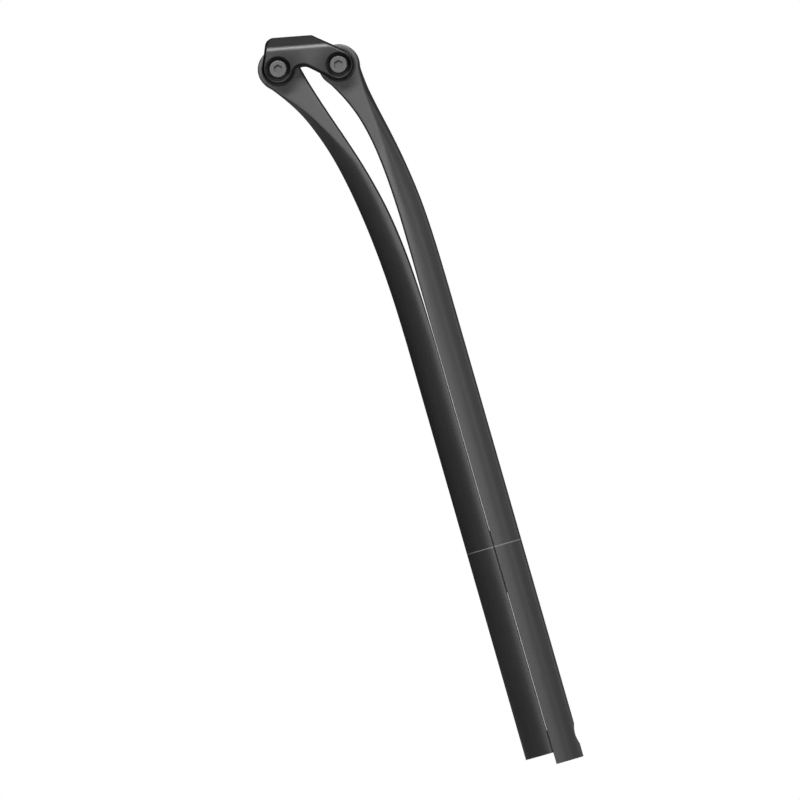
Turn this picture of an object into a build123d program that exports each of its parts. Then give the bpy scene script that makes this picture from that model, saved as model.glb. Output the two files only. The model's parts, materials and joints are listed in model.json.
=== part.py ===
from build123d import *

import os
from math import atan2, cos, hypot, radians, sin, sqrt

os.makedirs("parts", exist_ok=True)

# A suspension seatpost made of two half-round leaf springs and a side-clamping saddle rail head.
# Millimetres. +Z runs up the post, +X to the front of the bicycle, +Y to its left.
# The origin is on the post's axis at the minimum insertion line.

# Post
post_radius = 13.6
split_gap = 0.35  # between the flat faces of the two leaves
front_insertion = 108.8  # from the insertion line down to the foot of each leaf
rear_insertion = 103.0
sweep_start = 90.0  # the leaves are straight up to here
leaf_wall = 2.2
leaf_corner = 0.8  # rounding along the edges of the split
side_flat = 0.25  # least flat side between that rounding and the rounded back
neck_half_width = 12.0
neck_taper = 110.0  # the flat sides widen to the neck's over this rise
hollow_rise = 112.0  # the leaves are hollow up to this rise

# Eyes at the leaves' tops: setback behind the axis, rise above the sweep's start, lean of the neck
rear_eye_setback = 36.4
rear_eye_rise = 159.4
rear_eye_lean = 28.0
front_eye_setback = 7.8
front_eye_rise = 153.5
front_eye_lean = 19.0
eye_radius = 10.0
eye_proud = 0.1  # the eye stands out of the neck's flat sides by this
eye_blend = 0.15  # and of its front and back
spot_face = 1.0  # each side is faced flat for the seal ring, this far round the eye

# Stations up each leaf: rise, setback of its middle, lean in degrees, thickness lost
rear_stations = [
    (0, 0, 0, 0),
    (20, 0.05, 0.6, 0),
    (40, 0.5, 2.2, 0),
    (60, 1.7, 4.9, 0.1),
    (80, 4.05, 8.6, 0.7),
    (100, 7.9, 13.1, 2.1),
    (115, 11.85, 16.8, 3.1),
    (128, 16.15, 20.1, 3.05),
    (138, 19.9, 23.4, 1.9),
    (147, 23.8, 26.5, -0.7),
]
front_stations = [
    (0, 0, 0, 0),
    (20, 0, 0, 0),
    (40, 0, 0, 0.05),
    (60, 0.1, 1.0, 0.4),
    (80, 0.7, 3.4, 1.15),
    (100, 2.45, 7.0, 2.5),
    (115, 4.7, 10.6, 3.35),
    (128, 7.55, 14.6, 3.0),
    (138, 10.3, 17.2, 1.0),
    (146, 12.6, 18.5, -2.3),
]
# The rounded back flattens to the eye between these rises
rear_flattening = (106.0, 152.0)
front_flattening = (86.0, 156.0)
least_crown = 0.3

# Head and saddle rails
boss_radius = 7.6
rail_radius = 3.5
rail_centre_y = 22.0
rail_height = 9.5  # of the rails' centre over the line between the two bolts
clamp_gap = 1.0  # between inner and outer clamp, at the rails
clamp_top = 15.2
clamp_rear_slant = 11.5  # degrees
clamp_top_front = 2.6
clamp_rear_corner = 4.5
clamp_front_corner = 2.0
arch_slope = 31.1  # degrees
arch_radius = 5.1
outer_clamp_thickness = 7.5
roof_bend_height = 10.4
roof_bend_radius = 6.5
roof_slant = 33.0  # degrees from upright
rail_grip_front = 6.0
rail_grip_relief = 0.6
inner_clamp_inset = 0.4
inner_clamp_edge = 0.5
clamp_edge = 1.4
boss_dish_radius = 6.1  # a hollow round each bolt head, on the bosses of the right outer clamp
boss_dish_curve = 14.0

# Pivots
bolt_radius = 2.5
bolt_clearance = 0.1
thread_clearance = 0.05
pivot_sleeve_wall = 1.9
pivot_sleeve_edge = 0.3
running_clearance = 0.05
open_pivot_clearance = 0.6  # the front pivot takes up what the tilt setting moves it by
bushing_wall = 1.85
eye_sleeve_wall = 1.2
bond_gap = 0.05
bushing_flange = 1.0
bushing_length = 9.0
flange_play = 0.05
seal_section = 1.0
bushing_flange_overhang = 0.6  # past the bushing
seal_gap = 0.15  # between flange and seal ring

# Bolts, washers and nuts of the head
head_overhang = 1.75
head_height = 5.0
head_pocket_clearance = 0.35
head_pocket_depth = 5.0
socket_flats = 4.0
socket_depth = 2.8
washer_overhang = 0.15  # past the head
washer_height = 0.5
nut_wall = 1.5  # between thread and flats
nut_height = 4.5
nut_pocket_clearance = 0.1
nut_pocket_depth = 5.0
nut_corner = 0.4  # what is left of the nut's corners outside its flats
head_edge = 0.5
bolt_tip_edge = 0.5
socket_turn = 30.0  # degrees

# Lock screw that holds the two feet together
lock_height = -97.3
lock_pocket_clearance = 0.7
lock_seat_x = 5.5
lock_washer_height = 1.0
lock_screw_length = 15.0
lock_head_edge = 0.4
tilt_travel = 2.0  # each way
slot_clearance = 0.3
foot_insert_height = 30.0
nut_plate_side = 10.0
nut_plate_height = 4.0
nut_plate_gap = 0.15
nut_plate_corner = 1.0

# Pads in the split
pad_clearance = 0.1
pad_half_width = 12.4
upper_pad = (-23.0, 8.0)
lower_pad_top = -92.0

# Worked out
rear_eye = (-rear_eye_setback, sweep_start + rear_eye_rise)
front_eye = (-front_eye_setback, sweep_start + front_eye_rise)
leaf_thickness = post_radius - split_gap / 2
leaf_middle = split_gap / 2 + leaf_thickness / 2
eye_half_width = neck_half_width + eye_proud
half_span = hypot(front_eye[0] - rear_eye[0], front_eye[1] - rear_eye[1]) / 2
head_origin = ((rear_eye[0] + front_eye[0]) / 2, 0, (rear_eye[1] + front_eye[1]) / 2)
head_forward = ((front_eye[0] - rear_eye[0]) / (2 * half_span), 0, (front_eye[1] - rear_eye[1]) / (2 * half_span))
head_side = Plane(origin=head_origin, x_dir=head_forward, z_dir=(0, -1, 0))  # seen from the right
head_section = Plane(origin=head_origin, x_dir=(0, 1, 0), z_dir=head_forward)  # across the rails
pivot_sleeve_radius = bolt_radius + bolt_clearance + pivot_sleeve_wall
bushing_radius = pivot_sleeve_radius + running_clearance + bushing_wall
eye_sleeve_radius = bushing_radius + eye_sleeve_wall
bushing_flange_radius = bushing_radius + bushing_flange_overhang
seal_radius = bushing_flange_radius + seal_gap + seal_section / 2
head_radius = bolt_radius + head_overhang
washer_radius = head_radius + washer_overhang
nut_radius = bolt_radius + nut_wall
inner_face_y = eye_half_width + flange_play + bushing_flange + flange_play
inner_clamp_y = rail_centre_y - clamp_gap / 2
outer_clamp_y = rail_centre_y + clamp_gap / 2
clamp_face_y = outer_clamp_y + outer_clamp_thickness
head_seat_y = clamp_face_y - head_pocket_depth
nut_seat_y = clamp_face_y - nut_pocket_depth
bolt_end_y = clamp_face_y
boss_dish_offset = sqrt(boss_dish_curve**2 - boss_dish_radius**2)  # from the face to the dish's centre
lock_pocket_radius = head_radius + lock_pocket_clearance
lock_side_x = lock_seat_x + lock_washer_height
far = 200.0  # longer than anything it cuts


def leaf_plane(x, z, lean, facing):
    """A plane across a leaf that leans back. Its x axis points out of the post: facing is 1 in front, -1 behind."""
    along = (-sin(radians(lean)), 0, cos(radians(lean)))
    outward = (facing * cos(radians(lean)), 0, facing * sin(radians(lean)))
    return Plane(origin=(x, 0, z), x_dir=outward, z_dir=along)


def leaf_section(plane, thickness, half_width, crown, inset=0.0):
    """A leaf's section: flat inner face, flat sides and a back rounded by crown, all moved in by inset."""
    back_radius = (half_width**2 + crown**2) / (2 * crown)
    centre = thickness / 2 - back_radius
    radius = back_radius - inset
    face = inset - thickness / 2
    nearest = face + leaf_corner + side_flat - centre
    half = min(half_width - inset, sqrt(radius**2 - nearest**2))
    back = centre + sqrt(radius**2 - half**2)
    shoulder = half - leaf_corner
    middle = leaf_corner * (1 - sqrt(0.5))
    with BuildSketch(plane) as section:
        with BuildLine():
            Line((face, -shoulder), (face, shoulder))
            ThreePointArc((face, shoulder), (face + middle, half - middle), (face + leaf_corner, half))
            Line((face + leaf_corner, half), (back, half))
            ThreePointArc((back, half), (centre + radius, 0), (back, -half))
            Line((back, -half), (face + leaf_corner, -half))
            ThreePointArc((face + leaf_corner, -half), (face + middle, middle - half), (face, -shoulder))
        make_face()
    return section.sketch


def station_section(station, flattening, facing, inset=0.0):
    """The section at one station of a leaf."""
    rise, setback, lean, thinning = station
    taper = min(1, rise / neck_taper) ** 2
    half_width = post_radius + taper * (neck_half_width - post_radius)
    crown = post_radius - sqrt(max(0, post_radius**2 - half_width**2))
    left = (flattening[1] - rise) / (flattening[1] - flattening[0])
    crown = max(least_crown, crown * min(1, left))
    plane = leaf_plane(facing * leaf_middle - setback, sweep_start + rise, lean, facing)
    return leaf_section(plane, leaf_thickness - thinning, half_width, crown, inset)


def straight_section(facing, z, inset=0.0):
    """The section of a leaf's straight part, at height z."""
    plane = leaf_plane(facing * leaf_middle, z, 0, facing)
    return leaf_section(plane, leaf_thickness, post_radius, post_radius, inset)


def leaf_body(stations, flattening, eye, lean, foot, facing):
    """A leaf with its eye: hollow from the foot to the neck."""
    eye_plane = leaf_plane(eye[0], eye[1], lean, facing)
    outside = [station_section(s, flattening, facing) for s in stations]
    outside.append(leaf_section(eye_plane, 2 * (eye_radius - eye_blend), neck_half_width, least_crown))
    inside = [station_section(s, flattening, facing, leaf_wall) for s in stations if s[0] <= hollow_rise]
    with BuildPart() as leaf:
        extrude(straight_section(facing, -foot), amount=foot + sweep_start)
        loft(outside)
        for side in (-1, 1):
            with Locations((eye[0], side * (eye_half_width + far / 2), eye[1])):
                Cylinder(eye_radius + spot_face, far, rotation=(90, 0, 0), mode=Mode.SUBTRACT)
        with Locations((eye[0], 0, eye[1])):
            Cylinder(eye_radius, 2 * eye_half_width, rotation=(90, 0, 0))
        extrude(straight_section(facing, -foot, leaf_wall), amount=foot + sweep_start, mode=Mode.SUBTRACT)
        loft(inside, mode=Mode.SUBTRACT)
        with Locations((eye[0], 0, eye[1])):
            Cylinder(eye_sleeve_radius + bond_gap, far, rotation=(90, 0, 0), mode=Mode.SUBTRACT)
    return leaf.part


def foot_insert(foot, facing):
    """A block bonded into the foot of a leaf."""
    with BuildPart() as insert:
        section = straight_section(facing, -foot, leaf_wall + bond_gap)
        extrude(section, amount=foot_insert_height)
    return insert.part


def ring(name, at, outer, inner, spans, edge=0.0):
    """Tubes round a pivot, one for each span along Y, written as one node."""
    with BuildPart() as tubes:
        for low, high in spans:
            with BuildSketch(Plane.XZ.offset(-low)):
                with Locations(at):
                    Circle(outer)
                    Circle(inner, mode=Mode.SUBTRACT)
            extrude(amount=low - high)
        if edge:
            chamfer(tubes.edges().filter_by(GeomType.CIRCLE), edge)
    tubes.part.label = name
    export_step(tubes.part, f"parts/{name}.step")


def tangent_from(point, centre, radius, turn):
    """Where a line from point touches a circle, on the side that turn picks."""
    dx, dy = centre[0] - point[0], centre[1] - point[1]
    reach = sqrt(dx**2 + dy**2 - radius**2)
    angle = atan2(dy, dx) + turn * atan2(radius, reach)
    return (point[0] + reach * cos(angle), point[1] + reach * sin(angle))


def clamp_outline(plane, inset=0.0):
    """The clamps' side view: two bosses, a bar that rises over them to the rails, and an arch below it."""
    slant = radians(clamp_rear_slant)
    slope = radians(arch_slope)
    rear_low = (-half_span - boss_radius * cos(slant), boss_radius * sin(slant))
    rear_high = (rear_low[0] + (clamp_top - rear_low[1]) * sin(slant) / cos(slant), clamp_top)
    front_high = (clamp_top_front, clamp_top)
    front_nose = tangent_from(front_high, (half_span, 0), boss_radius, 1)
    front_low = (half_span - boss_radius * sin(slope), -boss_radius * cos(slope))
    arch_run = front_low[0] + half_span - boss_radius / 2
    arch_end = (front_low[0] - arch_run, front_low[1] + arch_run * sin(slope) / cos(slope))
    # the lower line runs on into the rear boss: where they cross, from the boss's centre
    off = (front_low[0] + half_span) * sin(slope) + front_low[1] * cos(slope)
    run = sqrt(boss_radius**2 - off**2)
    crossing = (off * sin(slope) + run * cos(slope) - half_span, off * cos(slope) - run * sin(slope), 0)
    with BuildSketch(plane) as outline:
        with Locations((-half_span, 0), (half_span, 0)):
            Circle(boss_radius)
        with BuildLine():
            Polyline(rear_low, rear_high, front_high, front_nose, front_low, arch_end, close=True)
        make_face()
        fillet(outline.vertices().sort_by_distance((*rear_high, 0))[0], clamp_rear_corner)
        fillet(outline.vertices().sort_by_distance((*front_high, 0))[0], clamp_front_corner)
        fillet(outline.vertices().sort_by_distance(crossing)[0], arch_radius)
        if inset:
            offset(amount=-inset, mode=Mode.REPLACE)
    return outline.sketch


# Rear leaf, with the slot that the nut plate's screw moves along
slot_half_width = bolt_radius + slot_clearance
slot_half_height = slot_half_width + tilt_travel
nut_half = nut_plate_side / 2
lock_plane = Plane(origin=(0, 0, lock_height), x_dir=(0, 1, 0), z_dir=(1, 0, 0))
lock_hole_radius = bolt_radius + bolt_clearance
wall_inside_x = split_gap / 2 + leaf_wall

with BuildPart() as rear_leaf:
    add(leaf_body(rear_stations, rear_flattening, rear_eye, rear_eye_lean, rear_insertion, -1))
    with BuildSketch(lock_plane.offset(-leaf_thickness / 2)):
        SlotOverall(2 * slot_half_height, 2 * slot_half_width, rotation=90)
    extrude(amount=leaf_thickness, mode=Mode.SUBTRACT)
rear_leaf.part.label = "rear_leaf"
export_step(rear_leaf.part, "parts/rear_leaf.step")

# Front leaf, with the screw's hole and the pocket for its head
with BuildPart() as front_leaf:
    add(leaf_body(front_stations, front_flattening, front_eye, front_eye_lean, front_insertion, 1))
    with BuildSketch(lock_plane):
        Circle(lock_hole_radius)
    extrude(amount=far, mode=Mode.SUBTRACT)
    with BuildSketch(lock_plane.offset(lock_seat_x)):
        Circle(lock_pocket_radius)
    extrude(amount=far, mode=Mode.SUBTRACT)
front_leaf.part.label = "front_leaf"
export_step(front_leaf.part, "parts/front_leaf.step")

# Blocks bonded into the feet
with BuildPart() as rear_foot_insert:
    add(foot_insert(rear_insertion, -1))
    with BuildSketch(lock_plane.offset(-far)):
        SlotOverall(2 * slot_half_height, 2 * slot_half_width, rotation=90)
    extrude(amount=far, mode=Mode.SUBTRACT)
    with BuildSketch(lock_plane.offset(-wall_inside_x - 2 * nut_plate_gap - nut_plate_height)):
        Rectangle(2 * (nut_half + slot_clearance), 2 * (nut_half + slot_clearance + tilt_travel))
    extrude(amount=far, mode=Mode.SUBTRACT)
rear_foot_insert.part.label = "rear_foot_insert"
export_step(rear_foot_insert.part, "parts/rear_foot_insert.step")

with BuildPart() as front_foot_insert:
    add(foot_insert(front_insertion, 1))
    with BuildSketch(lock_plane):
        Circle(lock_hole_radius)
    extrude(amount=far, mode=Mode.SUBTRACT)
    with BuildSketch(lock_plane.offset(lock_seat_x)):
        Circle(lock_pocket_radius)
    extrude(amount=far, mode=Mode.SUBTRACT)
front_foot_insert.part.label = "front_foot_insert"
export_step(front_foot_insert.part, "parts/front_foot_insert.step")

# Lock screw, its washer and the nut plate that it draws against the rear leaf's flat wall
with BuildPart() as lock_screw:
    with BuildSketch(lock_plane.offset(lock_side_x - lock_screw_length)):
        Circle(bolt_radius)
    extrude(amount=lock_screw_length)
    chamfer(lock_screw.faces().sort_by(Axis.X)[0].edges(), bolt_tip_edge)
    with BuildSketch(lock_plane.offset(lock_side_x)):
        Circle(head_radius)
    extrude(amount=head_height)
    fillet(lock_screw.faces().sort_by(Axis.X)[-1].edges(), lock_head_edge)
    with BuildSketch(lock_plane.offset(lock_side_x + head_height)):
        RegularPolygon(socket_flats / 2, 6, major_radius=False)
    extrude(amount=-socket_depth, mode=Mode.SUBTRACT)
lock_screw.part.label = "lock_screw"
export_step(lock_screw.part, "parts/lock_screw.step")

with BuildPart() as lock_washer:
    with BuildSketch(lock_plane.offset(lock_seat_x)):
        Circle(washer_radius)
        Circle(lock_hole_radius, mode=Mode.SUBTRACT)
    extrude(amount=lock_washer_height)
lock_washer.part.label = "lock_washer"
export_step(lock_washer.part, "parts/lock_washer.step")

with BuildPart() as nut_plate:
    with BuildSketch(lock_plane.offset(-wall_inside_x - nut_plate_gap)):
        RectangleRounded(nut_plate_side, nut_plate_side, nut_plate_corner)
        Circle(bolt_radius + thread_clearance, mode=Mode.SUBTRACT)
    extrude(amount=-nut_plate_height)
nut_plate.part.label = "nut_plate"
export_step(nut_plate.part, "parts/nut_plate.step")

# Pads on the rear leaf's flat face, one at the insertion line and one round the lock screw
pad_plane = Plane(origin=(-split_gap / 2, 0, 0), x_dir=(0, 1, 0), z_dir=(1, 0, 0))
pad_thickness = split_gap - pad_clearance
with BuildPart() as upper_spacer_pad:
    with BuildSketch(pad_plane):
        with Locations((0, sum(upper_pad) / 2)):
            Rectangle(2 * pad_half_width, upper_pad[1] - upper_pad[0])
    extrude(amount=pad_thickness)
upper_spacer_pad.part.label = "upper_spacer_pad"
export_step(upper_spacer_pad.part, "parts/upper_spacer_pad.step")

with BuildPart() as lower_slide_pad:
    with BuildSketch(pad_plane):
        with Locations((0, (lower_pad_top - rear_insertion) / 2)):
            Rectangle(2 * pad_half_width, lower_pad_top + rear_insertion)
        with Locations((0, lock_height)):
            SlotOverall(2 * slot_half_height, 2 * slot_half_width, rotation=90, mode=Mode.SUBTRACT)
    extrude(amount=pad_thickness)
lower_slide_pad.part.label = "lower_slide_pad"
export_step(lower_slide_pad.part, "parts/lower_slide_pad.step")

# Pivots: eye sleeves bonded in the carbon, flanged bushings, seal rings and the tubes that they turn on
flange_y = eye_half_width + flange_play
for end, at, clearance in (
    ("rear", rear_eye, running_clearance),
    ("front", front_eye, open_pivot_clearance),
):
    ring(f"{end}_eye_sleeve", at, eye_sleeve_radius, bushing_radius, [(-eye_half_width, eye_half_width)])
    with BuildPart() as bushings:
        with BuildSketch(Plane.XZ.offset(flange_y - bushing_length)):
            with Locations(at):
                Circle(bushing_radius)
        extrude(amount=bushing_length)
        with BuildSketch(Plane.XZ.offset(flange_y)):
            with Locations(at):
                Circle(bushing_flange_radius)
        extrude(amount=bushing_flange)
        with Locations((at[0], 0, at[1])):
            Cylinder(pivot_sleeve_radius + clearance, far, rotation=(90, 0, 0), mode=Mode.SUBTRACT)
        mirror(about=Plane.XZ)
    bushings.part.label = f"{end}_bushings"
    export_step(bushings.part, f"parts/{end}_bushings.step")
    with BuildPart() as seals:
        seal_y = (eye_half_width + inner_face_y) / 2
        with BuildSketch(Plane(origin=(at[0], -seal_y, at[1]), x_dir=(1, 0, 0), z_dir=(0, 0, 1))):
            with Locations((seal_radius, 0)):
                Circle(seal_section / 2)
        revolve(axis=Axis((at[0], 0, at[1]), (0, 1, 0)))
        mirror(about=Plane.XZ)
    seals.part.label = f"{end}_seal_rings"
    export_step(seals.part, f"parts/{end}_seal_rings.step")
    sleeve_half = inner_face_y - flange_play / 2
    bore = bolt_radius + bolt_clearance
    ring(f"{end}_pivot_sleeve", at, pivot_sleeve_radius, bore, [(-sleeve_half, sleeve_half)], pivot_sleeve_edge)

# Inner clamps, each a bar against the ends of the pivot sleeves with half of a rail groove outside
for side, name in ((-1, "inner_clamp_right"), (1, "inner_clamp_left")):
    with BuildPart() as clamp:
        extrude(clamp_outline(head_side.offset(inner_face_y), inner_clamp_inset), amount=inner_clamp_y - inner_face_y)
        chamfer(clamp.faces().sort_by(Axis.Y)[-1].outer_wire().edges(), inner_clamp_edge)
        with BuildSketch(head_section.offset(-far)):
            with Locations((-rail_centre_y, rail_height)):
                Circle(rail_radius)
        extrude(amount=far + rail_grip_front, mode=Mode.SUBTRACT)
        with BuildSketch(head_section.offset(rail_grip_front)):
            with Locations((-rail_centre_y, rail_height)):
                Circle(rail_radius + rail_grip_relief)
        extrude(amount=far, mode=Mode.SUBTRACT)
        with BuildSketch(head_side):
            with Locations((-half_span, 0), (half_span, 0)):
                Circle(bolt_radius + bolt_clearance)
        extrude(amount=far, mode=Mode.SUBTRACT)
        if side > 0:
            mirror(about=Plane.XZ, mode=Mode.REPLACE)
    clamp.part.label = name
    export_step(clamp.part, f"parts/{name}.step")

# Outer clamps: the right one takes the bolts' heads, the left one their nuts
for side, name in ((-1, "outer_clamp_right"), (1, "outer_clamp_left")):
    with BuildPart() as clamp:
        extrude(clamp_outline(head_side.offset(outer_clamp_y)), amount=clamp_face_y - outer_clamp_y)
        roof_rise = clamp_top - roof_bend_height + clamp_gap
        roof_run = roof_rise * sin(radians(roof_slant)) / cos(radians(roof_slant))
        with BuildSketch(head_section.offset(-far)) as across:
            with BuildLine():
                Polyline(
                    (-outer_clamp_y, -2 * boss_radius),
                    (-clamp_face_y, -2 * boss_radius),
                    (-clamp_face_y, roof_bend_height),
                    (roof_run - clamp_face_y, roof_bend_height + roof_rise),
                    (-outer_clamp_y, roof_bend_height + roof_rise),
                    close=True,
                )
            make_face()
            fillet(across.vertices().sort_by_distance((-clamp_face_y, roof_bend_height, 0))[0], roof_bend_radius)
        extrude(amount=2 * far, mode=Mode.INTERSECT)
        fillet(clamp.faces().sort_by(Axis.Y)[0].edges(), clamp_edge)
        with BuildSketch(head_section.offset(-far)):
            with Locations((-rail_centre_y, rail_height)):
                Circle(rail_radius)
        extrude(amount=far + rail_grip_front, mode=Mode.SUBTRACT)
        with BuildSketch(head_section.offset(rail_grip_front)):
            with Locations((-rail_centre_y, rail_height)):
                Circle(rail_radius + rail_grip_relief)
        extrude(amount=far, mode=Mode.SUBTRACT)
        with BuildSketch(head_side):
            with Locations((-half_span, 0), (half_span, 0)):
                Circle(bolt_radius + bolt_clearance)
        extrude(amount=far, mode=Mode.SUBTRACT)
        with BuildSketch(head_side.offset(head_seat_y if side < 0 else nut_seat_y)):
            with Locations((-half_span, 0), (half_span, 0)):
                if side < 0:
                    Circle(head_radius + head_pocket_clearance)
                else:
                    RegularPolygon(nut_radius + nut_pocket_clearance, 6, major_radius=False)
        extrude(amount=far, mode=Mode.SUBTRACT)
        if side < 0:
            with Locations(head_side.offset(clamp_face_y + boss_dish_offset)):
                with Locations((-half_span, 0), (half_span, 0)):
                    Sphere(boss_dish_curve, mode=Mode.SUBTRACT)
        else:
            mirror(about=Plane.XZ, mode=Mode.REPLACE)
    clamp.part.label = name
    export_step(clamp.part, f"parts/{name}.step")

# Bolts from the right, with their washers, and their nuts on the left
shank_start_y = -head_seat_y - washer_height
for end, at in (("rear", -half_span), ("front", half_span)):
    with BuildPart() as bolt:
        with BuildSketch(head_side.offset(-bolt_end_y)):
            with Locations((at, 0)):
                Circle(bolt_radius)
        extrude(amount=bolt_end_y - shank_start_y)
        chamfer(bolt.faces().sort_by(Axis.Y)[-1].edges(), bolt_tip_edge)
        with BuildSketch(head_side.offset(-shank_start_y)):
            with Locations((at, 0)):
                Circle(head_radius)
        extrude(amount=head_height)
        fillet(bolt.faces().sort_by(Axis.Y)[0].edges(), head_edge)
        with BuildSketch(head_side.offset(head_height - shank_start_y)):
            with Locations((at, 0)):
                RegularPolygon(socket_flats / 2, 6, major_radius=False, rotation=socket_turn)
        extrude(amount=-socket_depth, mode=Mode.SUBTRACT)
    bolt.part.label = f"{end}_clamp_bolt"
    export_step(bolt.part, f"parts/{end}_clamp_bolt.step")

    with BuildPart() as nut:
        with BuildSketch(head_side.offset(-nut_seat_y)):
            with Locations((at, 0)):
                RegularPolygon(nut_radius, 6, major_radius=False)
        extrude(amount=-nut_height)
        with BuildSketch(head_side.offset(-nut_seat_y)):
            with Locations((at, 0)):
                Circle(nut_radius + nut_corner)
        extrude(amount=-nut_height, mode=Mode.INTERSECT)
        with BuildSketch(head_side.offset(-nut_seat_y)):
            with Locations((at, 0)):
                Circle(bolt_radius + thread_clearance)
        extrude(amount=-nut_height, mode=Mode.SUBTRACT)
    nut.part.label = f"{end}_clamp_nut"
    export_step(nut.part, f"parts/{end}_clamp_nut.step")

with BuildPart() as head_washers:
    with BuildSketch(head_side.offset(head_seat_y)):
        with Locations((-half_span, 0), (half_span, 0)):
            Circle(washer_radius)
            Circle(bolt_radius + bolt_clearance, mode=Mode.SUBTRACT)
    extrude(amount=washer_height)
head_washers.part.label = "head_washers"
export_step(head_washers.part, "parts/head_washers.step")
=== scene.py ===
import json
import math

import bmesh
import bpy
from mathutils import Matrix, Vector

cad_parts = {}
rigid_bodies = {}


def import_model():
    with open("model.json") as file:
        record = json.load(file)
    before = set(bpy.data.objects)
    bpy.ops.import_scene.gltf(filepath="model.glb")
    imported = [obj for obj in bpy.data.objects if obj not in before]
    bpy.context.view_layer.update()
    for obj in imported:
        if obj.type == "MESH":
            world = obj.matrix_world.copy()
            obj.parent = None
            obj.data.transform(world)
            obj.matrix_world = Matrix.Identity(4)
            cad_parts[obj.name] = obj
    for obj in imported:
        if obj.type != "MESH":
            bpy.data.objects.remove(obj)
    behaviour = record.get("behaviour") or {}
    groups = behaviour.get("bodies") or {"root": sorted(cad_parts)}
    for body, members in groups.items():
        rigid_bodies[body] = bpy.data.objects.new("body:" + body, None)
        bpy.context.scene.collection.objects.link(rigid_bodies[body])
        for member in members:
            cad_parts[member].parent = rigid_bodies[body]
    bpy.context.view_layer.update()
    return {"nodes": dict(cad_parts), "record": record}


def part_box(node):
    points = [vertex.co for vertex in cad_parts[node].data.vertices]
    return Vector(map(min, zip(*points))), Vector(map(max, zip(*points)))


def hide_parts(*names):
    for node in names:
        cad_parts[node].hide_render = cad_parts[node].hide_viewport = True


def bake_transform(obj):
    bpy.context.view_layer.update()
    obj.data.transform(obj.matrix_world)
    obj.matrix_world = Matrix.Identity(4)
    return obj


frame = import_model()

mm = 0.001

# ---------------------------------------------------------------- where things are


def pivot_of(node):
    """The middle of a round node, on its axis."""
    low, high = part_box(node)
    middle = (low + high) / 2
    return Vector((middle.x, 0, middle.z))


REAR_EYE = pivot_of("rear_pivot_sleeve")
FRONT_EYE = pivot_of("front_pivot_sleeve")
REAR_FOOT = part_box("rear_leaf")[0].z
FRONT_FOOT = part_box("front_leaf")[0].z
POST_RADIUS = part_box("front_leaf")[1].x
EYE_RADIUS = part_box("rear_leaf")[1].z - REAR_EYE.z
EYE_HALF_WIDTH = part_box("rear_eye_sleeve")[1].y
BOND_GAP = 0.05 * mm  # between the eye's sleeve and the carbon round it
EYE_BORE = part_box("rear_eye_sleeve")[1].z - REAR_EYE.z + BOND_GAP
LOCK_HEIGHT = pivot_of("lock_screw").z

# ---------------------------------------------------------------- working with meshes

MERGE_REACH = 0.002 * mm  # points nearer than this are one
ACROSS = (0, 1, 0)
AHEAD = (1, 0, 0)
SMOOTH_ANGLE = math.radians(32.0)  # edges that turn more than this stay sharp
ROUND_SIDES = 96


def nothing_picked():
    """Deselects everything, as a new primitive and the CAD nodes come selected."""
    for other in bpy.context.view_layer.objects:
        other.select_set(False)


def pick_only(piece):
    """Selects this piece and nothing else, and makes it the active one."""
    nothing_picked()
    piece.select_set(True)
    bpy.context.view_layer.objects.active = piece


def fresh(name):
    """Names the primitive that was just added."""
    piece = bpy.context.object
    piece.name = name
    piece.data.name = name
    return piece


def place_in_mesh(piece):
    """Puts the piece's place, turn and size into its mesh."""
    pick_only(piece)
    bpy.ops.object.transform_apply(location=True, rotation=True, scale=True)


def apply_all(piece):
    """Applies the piece's modifiers, first to last."""
    pick_only(piece)
    for modifier in list(piece.modifiers):
        bpy.ops.object.modifier_apply(modifier=modifier.name)


def pin(name, middle, radius, length, along, sides=ROUND_SIDES):
    """A round bar, for cutting holes with."""
    nothing_picked()
    bpy.ops.mesh.primitive_cylinder_add(vertices=sides, radius=radius, depth=length, location=middle)
    piece = fresh(name)
    piece.rotation_euler = Vector(along).to_track_quat("Z", "Y").to_euler()
    place_in_mesh(piece)
    return piece


def cut(piece, tool):
    """Cuts the tool's shape out of the piece, and throws the tool away."""
    modifier = piece.modifiers.new("cut", "BOOLEAN")
    modifier.operation = "DIFFERENCE"
    modifier.solver = "EXACT"
    modifier.object = tool
    apply_all(piece)
    bpy.data.objects.remove(tool)


def tidy_faces(piece):
    """Merges doubles, turns the faces outward and smooths all but the real edges."""
    pick_only(piece)
    bpy.ops.object.mode_set(mode="EDIT")
    bpy.ops.mesh.select_all(action="SELECT")
    bpy.ops.mesh.remove_doubles(threshold=MERGE_REACH)
    bpy.ops.mesh.normals_make_consistent(inside=False)
    bpy.ops.object.mode_set(mode="OBJECT")
    bpy.ops.object.shade_smooth_by_angle(angle=SMOOTH_ANGLE)


# ---------------------------------------------------------------- the leaves' shape

SPLIT_GAP = 0.35 * mm
SWEEP_START = 90.0 * mm
LEAF_WALL = 2.2 * mm
NECK_HALF_WIDTH = 12.0 * mm
NECK_TAPER = 110.0 * mm  # rise over which the post narrows to its neck
POST_CORNER = 0.2 * mm  # rounding along the edges of the split
NECK_CORNER = 1.0 * mm
EYE_CORNER = 0.6 * mm
POST_CREASE = 0.35 * mm  # rounding where the flat sides meet the back
SOFT_CREASE = 5.0 * mm  # the same in the lower neck, where the sides run into the back
NECK_CREASE = 0.6 * mm
SIDE_FLAT = 0.5 * mm  # least run of the flat sides
MOST_OF_SIDE = 0.9  # share of a flat side that its crease may take
LEAST_CROWN = 0.3 * mm  # of the back, where the neck is flattest
NO_CROWN = 0.00002 * mm  # flat, but still an arc
BORE_LENGTH = 60 * mm  # longer than the eye is wide
LEAF_THICKNESS = POST_RADIUS - SPLIT_GAP / 2
LEAF_MIDDLE = SPLIT_GAP / 2 + LEAF_THICKNESS / 2
HOLLOW_RISE = 100.0  # of the hollow's top, in millimetres over the sweep's start
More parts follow.
